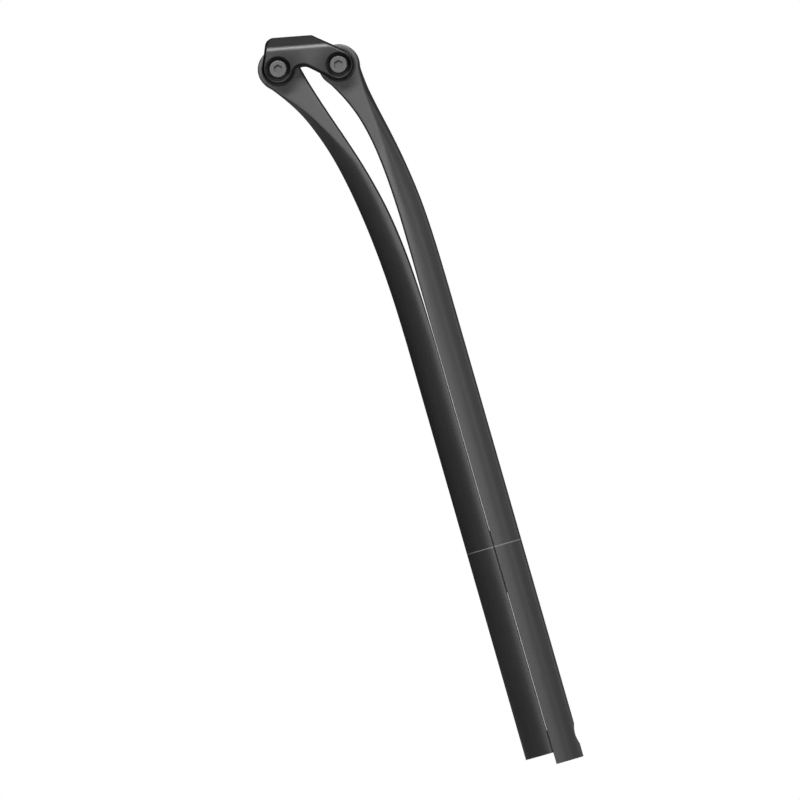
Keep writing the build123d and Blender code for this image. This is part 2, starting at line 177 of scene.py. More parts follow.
EYE_BLEND = 0.8 * mm  # the neck's faces run into the eye's round over this much
EYE_REACH = 1.6  # the neck takes the eye's width from this many eye radii out
EYE_SLACK = 0.3  # the neck's own faces run inside the eye's round by this many millimetres

# rises over the sweep's start, in millimetres
CORNER_RISE = 70.0  # the inner corners have widened to the neck's by here
SOFT_RISE = 50.0  # the crease is softest here
NECK_RISE = 80.0  # the crease starts to sharpen here
SHARP_RUN = 50.0  # and is sharp this much higher

# rise over the sweep's start, setback, lean in degrees and thickness lost; lengths in millimetres
REAR_STATIONS = [
    (0, 0, 0, 0),
    (20, 0.05, 0.6, 0),
    (40, 0.5, 2.2, 0),
    (60, 1.7, 4.9, 0.1),
    (80, 4.05, 8.6, 0.7),
    (100, 7.9, 13.1, 2.1),
    (115, 11.85, 16.8, 3.1),
    (128, 16.15, 20.1, 3.05),
    (138, 19.9, 23.4, 1.9),
    (147, 23.8, 26.5, -0.7),
]
FRONT_STATIONS = [
    (0, 0, 0, 0),
    (20, 0, 0, 0),
    (40, 0, 0, 0.05),
    (60, 0.1, 1.0, 0.4),
    (80, 0.7, 3.4, 1.15),
    (100, 2.45, 7.0, 2.5),
    (115, 4.7, 10.6, 3.35),
    (128, 7.55, 14.6, 3.0),
    (138, 10.3, 17.2, 1.0),
    (146, 12.6, 18.5, -2.3),
]
REAR_FLATTENING = (106.0, 152.0)  # rises between which the round back goes flat
FRONT_FLATTENING = (86.0, 156.0)
REAR_EYE_LEAN = 28.0
FRONT_EYE_LEAN = 19.0

FACE_STEPS = 14  # across half the inner face, and across half the back
BEND_STEPS = 6  # round each corner
SIDE_STEPS = 4  # down each flat side
EYE_STEPS = 14  # over the far half of the eye
HOLLOW_STEPS = 12  # up the swept part of the hollow
FOOT_STEP = 1.5 * mm  # from the foot to the first ring over it
RING_STEP = 4 * mm  # between rings of the straight part
LAST_STEP = 5 * mm  # the straight rings stop at least this far under the sweep
SWEEP_STEP = 3.0  # between rings of the sweep, in millimetres
NEAR_STEP = 0.75  # the same near the eye
NEAR_RUN = 30.0  # how far under the eye's axis the rings close up
TOP_GAP = 0.6  # from the last swept ring to the eye's axis, at least


def smooth(share):
    """0 to 1, starting and ending gently."""
    share = min(1.0, max(0.0, share))
    return share * share * (3 - 2 * share)


def between(a, b, share):
    """The value at a share of the way from a to b."""
    return a + (b - a) * share


def along_stations(stations, rise):
    """Setback, lean and thickness lost at a rise, on a smooth curve through the stations."""
    at = max(i for i, s in enumerate(stations[:-1]) if s[0] <= rise or i == 0)
    here, there = stations[at], stations[at + 1]
    span = there[0] - here[0]
    t = (rise - here[0]) / span
    found = []
    for k in (1, 2, 3):
        step = (there[k] - here[k]) / span
        start, end = 0.0, step
        if at:
            before = stations[at - 1]
            start = (step + (here[k] - before[k]) / (here[0] - before[0])) / 2
        if at + 2 < len(stations):
            after = stations[at + 2]
            end = (step + (after[k] - there[k]) / (after[0] - there[0])) / 2
        found.append(
            here[k] * (1 + 2 * t) * (1 - t) ** 2
            + there[k] * t * t * (3 - 2 * t)
            + span * (start * t * (1 - t) ** 2 - end * t * t * (1 - t))
        )
    return found


def bend(start, point, end):
    """Points round a bend that leaves start and reaches end as if heading for point."""
    made = []
    for k in range(BEND_STEPS + 1):
        t = k / BEND_STEPS
        made.append(start * (1 - t) ** 2 + point * 2 * t * (1 - t) + end * t * t)
    return made


def section(thickness, half_width, crown, inner_corner, crease, inset=0.0):
    """Points round a section: x out of the post, y across it, from the middle of the inner face.

    The back is an arc that rises by crown, and the crease joins it to the flat sides. An inset
    draws the section in on all sides, for the hollow.
    """
    back_radius = (half_width**2 + crown**2) / (2 * crown)
    centre = thickness / 2 - back_radius
    radius = back_radius - inset
    face = inset - thickness / 2
    nearest = face + inner_corner + SIDE_FLAT - centre
    half = min(half_width - inset, math.sqrt(max(radius**2 - nearest**2, 0.0)))
    opening = math.asin(min(1.0, half / radius))
    trimmed = opening - crease / radius
    past = Vector((centre + radius * math.cos(trimmed), radius * math.sin(trimmed)))
    knee = Vector((past.x - (half - past.y) * math.tan(trimmed), half))
    inner = Vector((face, half))
    middle = Vector((face, 0.0))
    low = bend(inner - Vector((0.0, inner_corner)), inner, inner + Vector((inner_corner, 0.0)))
    side_run = knee.x - low[-1].x
    high = bend(knee - Vector((min(crease, MOST_OF_SIDE * side_run), 0.0)), knee, past)
    points = [middle.lerp(low[0], k / FACE_STEPS) for k in range(FACE_STEPS)]
    points += low
    points += [low[-1].lerp(high[0], k / SIDE_STEPS) for k in range(1, SIDE_STEPS)]
    points += high[:-1]
    for k in range(FACE_STEPS + 1):
        angle = trimmed * (1 - k / FACE_STEPS)
        points.append(Vector((centre + radius * math.cos(angle), radius * math.sin(angle))))
    points += [Vector((p.x, -p.y)) for p in reversed(points[1:-1])]
    return points + [points[0]]


def placed(points, at, lean, facing):
    """A section's points in the model's frame: across a leaf that leans back by lean degrees."""
    c, s = math.cos(math.radians(lean)), math.sin(math.radians(lean))
    return [Vector((at.x + facing * p.x * c, p.y, at.z + facing * p.x * s)) for p in points]


def soft_max(a, b, reach):
    """The larger of two lengths, rounded over where they cross."""
    share = max(reach - abs(a - b), 0.0) / reach
    return max(a, b) + share * share * reach / 4


def straight_ring(height, facing, inset=0.0):
    """The ring at one height of the straight post."""
    points = section(LEAF_THICKNESS, POST_RADIUS, POST_RADIUS, POST_CORNER, POST_CREASE, inset)
    return placed(points, Vector((facing * LEAF_MIDDLE, 0, height)), 0.0, facing)


def swept_ring(stations, flattening, eye, facing, rise, inset=0.0):
    """The ring at one rise of the sweep, with the eye's round swelling the neck near its top."""
    setback, lean, thinning = along_stations(stations, rise)
    taper = min(1.0, rise * mm / NECK_TAPER) ** 2
    half_width = between(POST_RADIUS, NECK_HALF_WIDTH, taper)
    crown = POST_RADIUS - math.sqrt(max(0.0, POST_RADIUS**2 - half_width**2))
    left = (flattening[1] - rise) / (flattening[1] - flattening[0])
    crown = max(LEAST_CROWN, crown * min(1.0, left))
    thickness = LEAF_THICKNESS - thinning * mm
    at = Vector((facing * LEAF_MIDDLE - setback * mm, 0, SWEEP_START + rise * mm))
    lean_turn = math.radians(lean)
    outward = Vector((facing * math.cos(lean_turn), 0, facing * math.sin(lean_turn)))
    low, high = -thickness / 2, thickness / 2
    reach = (eye - at).dot(outward)
    off = (eye - at - outward * reach).length
    if off < EYE_RADIUS:
        run = math.sqrt(EYE_RADIUS**2 - off**2)
        high = soft_max(high, reach + run, EYE_BLEND)
        low = -soft_max(-low, run - reach, EYE_BLEND)
    near = smooth(1 - off / (EYE_REACH * EYE_RADIUS))
    half_width = between(half_width, EYE_HALF_WIDTH, near)
    inner_corner = between(POST_CORNER, NECK_CORNER, smooth(rise / CORNER_RISE))
    inner_corner = between(inner_corner, EYE_CORNER, near)
    crease = between(POST_CREASE, SOFT_CREASE, smooth(rise / SOFT_RISE))
    crease = between(crease, NECK_CREASE, smooth((rise - NECK_RISE) / SHARP_RUN))
    crease = between(crease, EYE_CORNER, near)
    points = section(high - low, half_width, crown, inner_corner, crease, inset)
    middle = (low + high) / 2
    return placed([Vector((p.x + middle, p.y)) for p in points], at, lean, facing)


def eye_rings(eye, lean, facing):
    """Rings over the far half of the eye, closing on its top line."""
    points = section(2 * EYE_RADIUS, EYE_HALF_WIDTH, NO_CROWN, EYE_CORNER, EYE_CORNER)
    turn = math.radians(lean)
    up = Vector((-math.sin(turn), 0, math.cos(turn)))
    rings = []
    for k in range(EYE_STEPS + 1):
        angle = math.pi / 2 * k / EYE_STEPS
        ring = placed([Vector((p.x * math.cos(angle), p.y)) for p in points], eye, lean, facing)
        rings.append([q + up * abs(p.x) * math.sin(angle) for p, q in zip(points, ring)])
    return rings


def run_along(points):
    """How far each point is from the first, along the points."""
    run = [0.0]
    for a, b in zip(points, points[1:]):
        run.append(run[-1] + (b - a).length)
    return run


def wrapped_sheet(name, rings):
    """A grid of quads laid over the rings like veneer over a mould.

    Its UV map is in metres: round the leaf, and up it.
    """
    across, up = len(rings[0]) - 1, len(rings) - 1
    nothing_picked()
    bpy.ops.mesh.primitive_grid_add(x_subdivisions=across, y_subdivisions=up, size=1.0, calc_uvs=True)
    piece = fresh(name)
    widest = max(rings, key=lambda ring: run_along(ring)[-1])
    round_it = run_along(widest)
    half = across // 2
    up_it = run_along([(ring[0] + ring[half]) / 2 for ring in rings])
    mesh = piece.data
    spots = [(round((v.co.x + 0.5) * across), round((v.co.y + 0.5) * up)) for v in mesh.vertices]
    for vertex, (column, row) in zip(mesh.vertices, spots):
        vertex.co = rings[row][column]
    for loop, spot in zip(mesh.loops, mesh.uv_layers.active.data):
        column, row = spots[loop.vertex_index]
        spot.uv = (round_it[column], up_it[row])
    return piece


def leaf(name, stations, flattening, eye, eye_lean, foot, facing):
    """A leaf spring: hollow from the foot to the neck, with a bored eye at its top.

    The sheet starts at the hollow's top, comes down its wall, turns at the foot and goes up
    the outside. The one hole left in it, at the hollow's top, is closed with a face.
    """
    eye_setback = (facing * LEAF_MIDDLE - eye.x) / mm
    eye_rise = (eye.z - SWEEP_START) / mm
    eye_thinning = (LEAF_THICKNESS - 2 * EYE_RADIUS) / mm + EYE_SLACK
    path = stations + [(eye_rise, eye_setback, eye_lean, eye_thinning)]
    heights = [foot, foot + FOOT_STEP]
    while heights[-1] < SWEEP_START - LAST_STEP:
        heights.append(heights[-1] + RING_STEP)
    rings = []
    for k in range(HOLLOW_STEPS, -1, -1):
        rise = k * HOLLOW_RISE / HOLLOW_STEPS
        rings.append(swept_ring(path, flattening, eye, facing, rise, LEAF_WALL))
    rings += [straight_ring(z, facing, LEAF_WALL) for z in heights[:2:-3]]
    rings += [straight_ring(foot, facing, LEAF_WALL)]
    rings += [straight_ring(z, facing) for z in heights]
    rise = 0.0
    while rise < eye_rise - TOP_GAP:
        rings.append(swept_ring(path, flattening, eye, facing, rise))
        rise += SWEEP_STEP if rise < eye_rise - NEAR_RUN else NEAR_STEP
    piece = wrapped_sheet(name, rings + eye_rings(eye, eye_lean, facing))
    pick_only(piece)
    bpy.ops.object.mode_set(mode="EDIT")
    bpy.ops.mesh.select_all(action="SELECT")
    bpy.ops.mesh.remove_doubles(threshold=MERGE_REACH)
    bpy.ops.mesh.select_all(action="DESELECT")
    bpy.ops.mesh.select_mode(type="EDGE")
    made = bmesh.from_edit_mesh(piece.data)
    for edge in made.edges:
        edge.select = edge.is_boundary
    bmesh.update_edit_mesh(piece.data)
    bpy.ops.mesh.edge_face_add()
    bpy.ops.object.mode_set(mode="OBJECT")
    tidy_faces(piece)
    cut(piece, pin("bore", eye, EYE_BORE, BORE_LENGTH, ACROSS))
    return piece


rear_shape = (REAR_STATIONS, REAR_FLATTENING, REAR_EYE, REAR_EYE_LEAN, REAR_FOOT)
front_shape = (FRONT_STATIONS, FRONT_FLATTENING, FRONT_EYE, FRONT_EYE_LEAN, FRONT_FOOT)
rear_leaf = leaf("rear_leaf_spring", *rear_shape, facing=-1)
front_leaf = leaf("front_leaf_spring", *front_shape, facing=1)

# holes for the lock screw: through the front leaf's wall and its back, and a slot in the rear leaf
SCREW_HOLE = 2.6 * mm
SCREW_POCKET = 4.95 * mm
SCREW_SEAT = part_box("lock_washer")[0].x
SLOT_HALF_WIDTH = 2.8 * mm
SLOT_TRAVEL = 2.0 * mm
SLOT_SIDES = 48
HOLE_TOOL = 12 * mm  # lengths of the cutting tools
POCKET_TOOL = 20 * mm
SLOT_TOOL = 10 * mm

screw_middle = Vector((0, 0, LOCK_HEIGHT))
cut(front_leaf, pin("screw_hole", screw_middle, SCREW_HOLE, HOLE_TOOL, AHEAD))
pocket_middle = screw_middle + Vector((SCREW_SEAT + POCKET_TOOL / 2, 0, 0))
cut(front_leaf, pin("screw_pocket", pocket_middle, SCREW_POCKET, POCKET_TOOL, AHEAD))

slot_tool = pin("slot", screw_middle, SLOT_HALF_WIDTH, SLOT_TOOL, AHEAD, SLOT_SIDES)
for vertex in slot_tool.data.vertices:
    vertex.co.z += SLOT_TRAVEL if vertex.co.z > LOCK_HEIGHT else -SLOT_TRAVEL
cut(rear_leaf, slot_tool)
for piece in (rear_leaf, front_leaf):
    tidy_faces(piece)

# ---------------------------------------------------------------- finishes


def feed(tree, made, inputs):
    """Sets a node's inputs, or links those that are given a socket."""
    for key, value in inputs.items():
        if isinstance(value, bpy.types.NodeSocket):
            tree.links.new(value, made.inputs[key])
        else:
            made.inputs[key].default_value = value


def add(tree, kind, inputs=None, **settings):
    """A shader node with its settings, and its inputs set or linked."""
    made = tree.nodes.new("ShaderNode" + kind)
    for key, value in settings.items():
        setattr(made, key, value)
    feed(tree, made, inputs or {})
    return made


def math_of(tree, operation, a, b=0.0):
    """One sum, as a node."""
    return add(tree, "Math", {0: a, 1: b}, operation=operation).outputs[0]


def share_of(tree, value, share):
    """A share of a value or mask."""
    return math_of(tree, "MULTIPLY", value, share)


def ranged(tree, value, low, high, to_low=0.0, to_high=1.0):
    """A value brought from one range to another, and held there."""
    made = add(tree, "MapRange", {"Value": value, "From Min": low, "From Max": high})
    made.inputs["To Min"].default_value = to_low
    made.inputs["To Max"].default_value = to_high
    return made.outputs["Result"]


def blended(tree, share, a, b):
    """One colour over another."""
    under, over, mixed = 6, 7, 2  # the colour sockets of a Mix node
    made = add(tree, "Mix", {"Factor": share, under: a, over: b}, data_type="RGBA")
    return made.outputs[mixed]


def grey(level, warm=0.0):
    """A grey by its level, a little towards brown if warm."""
    return (level * (1 + warm), level, level * (1 - warm), 1.0)


def noise(tree, place, scale, detail, roughness=0.5):
    """A noise texture over a place."""
    values = {"Vector": place, "Scale": scale, "Detail": detail, "Roughness": roughness}
    return add(tree, "TexNoise", values)


def new_group(name, inputs, outputs):
    """An effect with named inputs and outputs, for more than one finish."""
    tree = bpy.data.node_groups.new(name, "ShaderNodeTree")
    for label, kind, value in inputs:
        socket = tree.interface.new_socket(label, in_out="INPUT", socket_type=kind)
        if value is not None:
            socket.default_value = value
    for label, kind in outputs:
        tree.interface.new_socket(label, in_out="OUTPUT", socket_type=kind)
    into = tree.nodes.new("NodeGroupInput")
    out = tree.nodes.new("NodeGroupOutput")
    return tree, into.outputs, out.inputs


VALUE = "NodeSocketFloat"
VECTOR = "NodeSocketVector"

# fine pits and grains left by blasting or moulding: size in millimetres
grain, g_in, g_out = new_group(
    "surface grain",
    [("Size", VALUE, 0.2), ("Place", VECTOR, None)],
    [("Height", VALUE), ("Mask", VALUE)],
)
per_metre = math_of(grain, "DIVIDE", 1 / mm, g_in["Size"])
fine = noise(grain, g_in["Place"], per_metre, 3.0, 0.6)
pits = add(grain, "TexVoronoi", {"Vector": g_in["Place"], "Scale": per_metre}, feature="SMOOTH_F1")
grain.links.new(math_of(grain, "ADD", fine.outputs["Fac"], pits.outputs["Distance"]), g_out["Height"])
grain.links.new(ranged(grain, fine.outputs["Fac"], 0.3, 0.7), g_out["Mask"])

# slow changes of tone over a surface: size in millimetres
cloud, c_in, c_out = new_group(
    "cloudy tone",
    [("Size", VALUE, 20.0), ("Place", VECTOR, None)],
    [("Mask", VALUE)],
)
per_metre = math_of(cloud, "DIVIDE", 1 / mm, c_in["Size"])
soft = noise(cloud, c_in["Place"], per_metre, 4.0, 0.55)
cloud.links.new(ranged(cloud, soft.outputs["Fac"], 0.32, 0.68), c_out["Mask"])

# where corners are rubbed: found from how far a rounded normal leaves the true one
wear, w_in, w_out = new_group(
    "rubbed edges",
    [("Width", VALUE, 0.25 * mm), ("Amount", VALUE, 0.6), ("Place", VECTOR, None)],
    [("Mask", VALUE)],
)
rounded = add(wear, "Bevel", {"Radius": w_in["Width"]}, samples=4)
true_face = add(wear, "NewGeometry")
both_normals = {0: rounded.outputs[0], 1: true_face.outputs["Normal"]}
likeness = add(wear, "VectorMath", both_normals, operation="DOT_PRODUCT")
turned = math_of(wear, "SUBTRACT", 1.0, likeness.outputs["Value"])
patchy = noise(wear, w_in["Place"], 0.9 / mm, 5.0, 0.65)
on_edge = ranged(wear, turned, 0.02, 0.22)
in_patch = ranged(wear, patchy.outputs["Fac"], 0.38, 0.62)
edge_share = math_of(wear, "MULTIPLY", on_edge, in_patch)
wear.links.new(math_of(wear, "MULTIPLY", edge_share, w_in["Amount"]), w_out["Mask"])

# dust that settles on what faces up
dust, d_in, d_out = new_group(
    "settled dust",
    [("Amount", VALUE, 0.1), ("Place", VECTOR, None)],
    [("Mask", VALUE)],
)
facing_up = add(dust, "SeparateXYZ", {0: add(dust, "NewGeometry").outputs["Normal"]})
specks = noise(dust, d_in["Place"], 0.6 / mm, 6.0, 0.7)
on_top = ranged(dust, facing_up.outputs["Z"], 0.2, 1.0)
in_specks = ranged(dust, specks.outputs["Fac"], 0.45, 0.75)
settled = math_of(dust, "MULTIPLY", on_top, in_specks)
dust.links.new(math_of(dust, "MULTIPLY", settled, d_in["Amount"]), d_out["Mask"])


def effect(tree, group, **values):
    """An effect placed in a finish, with its own values."""
    made = tree.nodes.new("ShaderNodeGroup")
    made.node_tree = group
    feed(tree, made, values)
    return made.outputs


LACQUER_IOR = 1.5


def finish_of(name, metallic=0.0):
    """An empty finish: its tree, its shader and the place on the surface."""
    material = bpy.data.materials.new(name)
    material.use_nodes = True
    tree = material.node_tree
    shader = tree.nodes["Principled BSDF"]
    shader.inputs["Metallic"].default_value = metallic
    shader.inputs["IOR"].default_value = LACQUER_IOR
    place = add(tree, "TexCoord").outputs["Object"]
    return material, tree, shader, place


def finish_with(tree, shader, colour, roughness, height, depth, edge=0.0):
    """Links a finish's colour, roughness and bump. Where edge is given, edges look rounded by it."""
    tree.links.new(colour, shader.inputs["Base Color"])
    tree.links.new(roughness, shader.inputs["Roughness"])
    bump = add(tree, "Bump", {"Height": height, "Strength": 1.0, "Distance": depth})
    if edge:
        soft_edge = add(tree, "Bevel", {"Radius": edge}, samples=6)
        tree.links.new(soft_edge.outputs["Normal"], bump.inputs["Normal"])
    tree.links.new(bump.outputs["Normal"], shader.inputs["Normal"])


def fibres(tree, width, length, detail, roughness=0.5):
    """Noise drawn out along the leaf, by the sheet's own map."""
    sheet_map = add(tree, "TexCoord").outputs["UV"]
    drawn_out = add(tree, "Mapping", {"Vector": sheet_map, "Scale": (1 / width, 1 / length, 1.0)})
    return noise(tree, drawn_out.outputs[0], 1.0, detail, roughness).outputs["Fac"]


LINE_OUTER = 0.30 * mm  # half of the insertion line, to where its ink ends
LINE_INNER = 0.20 * mm  # and to where it is full
LINE_RAGGED = 0.12 * mm


def insertion_line(tree, place):
    """The printed line round the leaf, where the height is nought, with a slightly ragged edge."""
    off_line = math_of(tree, "ABSOLUTE", add(tree, "SeparateXYZ", {0: place}).outputs["Z"])
    ragged = noise(tree, place, 1.8 / mm, 2.0)
    centred = math_of(tree, "SUBTRACT", ragged.outputs["Fac"], 0.5)
    off_line = math_of(tree, "ADD", off_line, share_of(tree, centred, LINE_RAGGED))
    return ranged(tree, off_line, LINE_OUTER, LINE_INNER)


def satin_carbon():
    """Carbon fibre laid along the leaf under a satin clear coat."""
    material, tree, shader, place = finish_of("satin_carbon")
    fibre = fibres(tree, width=0.22 * mm, length=9 * mm, detail=4.0, roughness=0.6)
    tow = fibres(tree, width=2.6 * mm, length=60 * mm, detail=3.0)
    streaks = math_of(tree, "ADD", share_of(tree, fibre, 0.6), share_of(tree, tow, 0.4))
    colour = blended(tree, ranged(tree, streaks, 0.35, 0.65), grey(0.013), grey(0.018, 0.01))
    tone = effect(tree, cloud, Size=34.0, Place=place)["Mask"]
    colour = blended(tree, share_of(tree, tone, 0.25), colour, grey(0.021))
    line = insertion_line(tree, place)
    colour = blended(tree, line, colour, grey(0.11))
    dusty = effect(tree, dust, Amount=0.10, Place=place)["Mask"]
    colour = blended(tree, dusty, colour, grey(0.12, 0.03))
    peel = noise(tree, place, 0.55 / mm, 2.0)
    matt = effect(tree, grain, Size=0.16, Place=place)
    slow = ranged(tree, tone, 0.0, 1.0, 0.28, 0.31)
    rough = math_of(tree, "ADD", slow, share_of(tree, matt["Mask"], 0.03))
    height = math_of(tree, "ADD", peel.outputs["Fac"], share_of(tree, matt["Height"], 0.22))
    height = math_of(tree, "ADD", height, share_of(tree, line, 0.5))
    finish_with(tree, shader, colour, rough, height, 0.004 * mm)
    return material


def bare_carbon_and_shade():
    """The leaves' flat inner faces: carbon as it leaves the mould, without a clear coat, and coloured
    darker than the coated carbon as painted shade of the narrow split and the hollow.
    """
    material, tree, shader, place = finish_of("bare_carbon_and_shade")
    shader.inputs["Specular IOR Level"].default_value = 0.15
    fibre = fibres(tree, width=0.4 * mm, length=12 * mm, detail=4.0, roughness=0.6)
    # painted shade: the inner faces are coloured darker than the coated outside, as the narrow split
    # would shade them
    colour = blended(tree, ranged(tree, fibre, 0.35, 0.65), grey(0.005), grey(0.011))
    matt = effect(tree, grain, Size=0.3, Place=place)
    rough = ranged(tree, matt["Mask"], 0.0, 1.0, 0.66, 0.78)
    height = math_of(tree, "ADD", fibre, share_of(tree, matt["Height"], 0.4))
    finish_with(tree, shader, colour, rough, height, 0.010 * mm)
    return material


BOLT_SHADE_FULL = 6 * mm  # the painted shade on the clamps is darkest up to here from a bolt's axis
BOLT_SHADE_END = 16.5 * mm  # and ends here, where the clamps are lightest
SQUEEZE = (1.0, 0.0, 1.6)  # heights count for more, so the painted shade round the bolts stays off the roof and the lip


def blasted_black_alloy_with_bolt_shade():
    """Aluminium, bead blasted and anodised black, with painted shade round the bolts."""
    material, tree, shader, place = finish_of("blasted_black_alloy_with_bolt_shade", metallic=1.0)
    blast = effect(tree, grain, Size=0.14, Place=place)
    tone = effect(tree, cloud, Size=18.0, Place=place)["Mask"]
    # painted shade: the colour goes from 0.031 on the open face down to 0.013 round the bolts, by
    # distance from the bolts' axes
    flat_place = add(tree, "VectorMath", {0: place, 1: SQUEEZE}, operation="MULTIPLY").outputs[0]
    reaches = []
    for bolt in (REAR_EYE, FRONT_EYE):
        at = Vector(a * b for a, b in zip(bolt, SQUEEZE))
        apart = add(tree, "VectorMath", {0: flat_place, 1: at}, operation="DISTANCE")
        reaches.append(apart.outputs["Value"])
    clear_of_bolt_shade = ranged(tree, math_of(tree, "MINIMUM", *reaches), BOLT_SHADE_FULL, BOLT_SHADE_END)
    colour = blended(tree, clear_of_bolt_shade, grey(0.013), grey(0.031))
    colour = blended(tree, share_of(tree, tone, 0.06), colour, grey(0.09))
    colour = blended(tree, share_of(tree, blast["Mask"], 0.10), colour, grey(0.004))
    rubbed = effect(tree, wear, Width=0.18 * mm, Amount=0.14, Place=place)["Mask"]
    colour = blended(tree, rubbed, colour, grey(0.12))
    dusty = effect(tree, dust, Amount=0.10, Place=place)["Mask"]
    colour = blended(tree, dusty, colour, grey(0.12, 0.03))
    rough = ranged(tree, tone, 0.0, 1.0, 0.31, 0.34)
    finish_with(tree, shader, colour, rough, blast["Height"], 0.010 * mm, edge=0.35 * mm)
    return material


def metal(name, level, metallic, rough, grain_size, worn, worn_level=0.5, warm=0.0):
    """Bare or plated metal with a fine grain and rubbed edges. Its roughness lies between two values."""
    material, tree, shader, place = finish_of(name, metallic=metallic)
    fine_grain = effect(tree, grain, Size=grain_size, Place=place)
    tone = effect(tree, cloud, Size=4.0, Place=place)["Mask"]
    colour = blended(tree, tone, grey(level * 0.88, warm), grey(level * 1.1, warm))
    rubbed = effect(tree, wear, Width=0.15 * mm, Amount=worn, Place=place)["Mask"]
    colour = blended(tree, rubbed, colour, grey(worn_level))
    roughness = ranged(tree, fine_grain["Mask"], 0.0, 1.0, *rough)
    finish_with(tree, shader, colour, roughness, fine_grain["Height"], 0.004 * mm)
    return material


def moulded(name, level, rough, grain_size, depth, warm=0.0):
    """Rubber or plastic with a moulded grain and a little dust."""
    material, tree, shader, place = finish_of(name)
    skin = effect(tree, grain, Size=grain_size, Place=place)
    tone = effect(tree, cloud, Size=6.0, Place=place)["Mask"]
    colour = blended(tree, tone, grey(level * 0.8, warm), grey(level * 1.2, warm))
    dusty = effect(tree, dust, Amount=0.15, Place=place)["Mask"]
    colour = blended(tree, dusty, colour, grey(0.14, 0.03))
    roughness = ranged(tree, skin["Mask"], 0.0, 1.0, rough - 0.06, rough + 0.06)
    finish_with(tree, shader, colour, roughness, skin["Height"], depth)
    return material


def tool_marks(name, level):
    """Machined aluminium: fine parallel marks left by the cutter."""
    material, tree, shader, place = finish_of(name, metallic=1.0)
    marks = {"Vector": place, "Scale": 0.9 / mm, "Distortion": 0.6, "Detail": 2.0}
    rows = add(tree, "TexWave", marks, bands_direction="Y")
    tone = effect(tree, cloud, Size=8.0, Place=place)["Mask"]
    colour = blended(tree, tone, grey(level * 0.9), grey(level * 1.08))
    rough = ranged(tree, rows.outputs["Fac"], 0.0, 1.0, 0.30, 0.42)
    finish_with(tree, shader, colour, rough, rows.outputs["Fac"], 0.004 * mm)
    return material


carbon = satin_carbon()
inner_carbon_and_shade = bare_carbon_and_shade()
alloy = blasted_black_alloy_with_bolt_shade()
bolt_coat = metal(
    "grey_coated_steel",
    level=0.040, metallic=0.4, rough=(0.34, 0.42), grain_size=0.20, worn=0.2, worn_level=0.3,
)
# painted shade: the washers are coloured near black, a real black finish that also stands in for the
# shade deep in the ring round each bolt head
dark_washer_and_shade = metal(
    "blackened_washer_and_shade",
    level=0.06, metallic=0.8, rough=(0.36, 0.46), grain_size=0.30, worn=0.1, worn_level=0.2,
)
black_zinc = metal(
    "black_zinc_nut",
    level=0.10, metallic=0.9, rough=(0.30, 0.42), grain_size=0.30, worn=0.5, worn_level=0.4,
)
hard_alloy = metal(
    "hard_anodised_sleeve",
    level=0.22, metallic=0.9, rough=(0.32, 0.44), grain_size=0.25, worn=0.2, warm=0.04,
)
machined = tool_marks("machined_alloy", level=0.45)
polymer = moulded(
    "bearing_polymer", level=0.035, rough=0.48, grain_size=0.35, depth=0.006 * mm, warm=0.03
)
rubber = moulded("seal_rubber", level=0.012, rough=0.66, grain_size=0.25, depth=0.010 * mm)
pad_skin = moulded("pad_polymer", level=0.015, rough=0.60, grain_size=0.30, depth=0.006 * mm)

finishes = {
    "leaf_carbon": carbon,
    "clamp_alloy": alloy,
    "insert_alloy": machined,
    "sleeve_alloy": hard_alloy,
    "bolt_steel": bolt_coat,
    "washer_steel": dark_washer_and_shade,
    "nut_steel": black_zinc,
    "bushing_polymer": polymer,
    "seal_rubber": rubber,
    "pad_polymer": pad_skin,
}
for part in frame["record"]["subparts"]:
    node = frame["nodes"][part["node"]]
    if not node.material_slots:
        node.data.materials.append(None)
    for place in node.material_slots:
        place.material = finishes[part["material_slot"]]

# ---------------------------------------------------------------- the leaves take their places

BARE_LEAN = math.radians(50.0)  # the inner face leans less than this
BARE_FROM = 0.25  # how much of a face's normal has to point into the split


def bare_and_shaded_inside(piece, facing):
    """Gives the flat faces of the split, their rounded edges and the hollow the bare finish, which
    carries their painted shade.
    """
    for face in piece.data.polygons:
        lean = math.atan2(face.normal.z, -facing * face.normal.x)
        inward = Vector((face.normal.x, 0, face.normal.z)).length if abs(lean) < BARE_LEAN else 0.0
        face.material_index = 1 if inward > BARE_FROM else 0


for piece, facing, body, tip, node, eye in (
    (rear_leaf, -1, "rear_leaf", "rear_tip", "rear_leaf", REAR_EYE),
    (front_leaf, 1, "front_leaf", "front_tip", "front_leaf", FRONT_EYE),
):
    piece.data.materials.clear()
    piece.data.materials.append(carbon)
    piece.data.materials.append(inner_carbon_and_shade)
    bare_and_shaded_inside(piece, facing)
    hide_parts(node)
    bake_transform(piece)

# ---------------------------------------------------------------- camera, floor and light

POST_LEAN = math.radians(16.0)
SIDE_TURN = math.radians(0.58)  # the camera stands a little towards the front
AIM = Vector((-24.1, 0.0, 80.4)) * mm
VIEW_WIDTH = 385.2 * mm  # across the picture, at the post
LENS = 1500.0  # millimetres, as the view is close to parallel
SENSOR = 36.0
NEAR_CLIP = 1.0
FAR_CLIP = 100.0

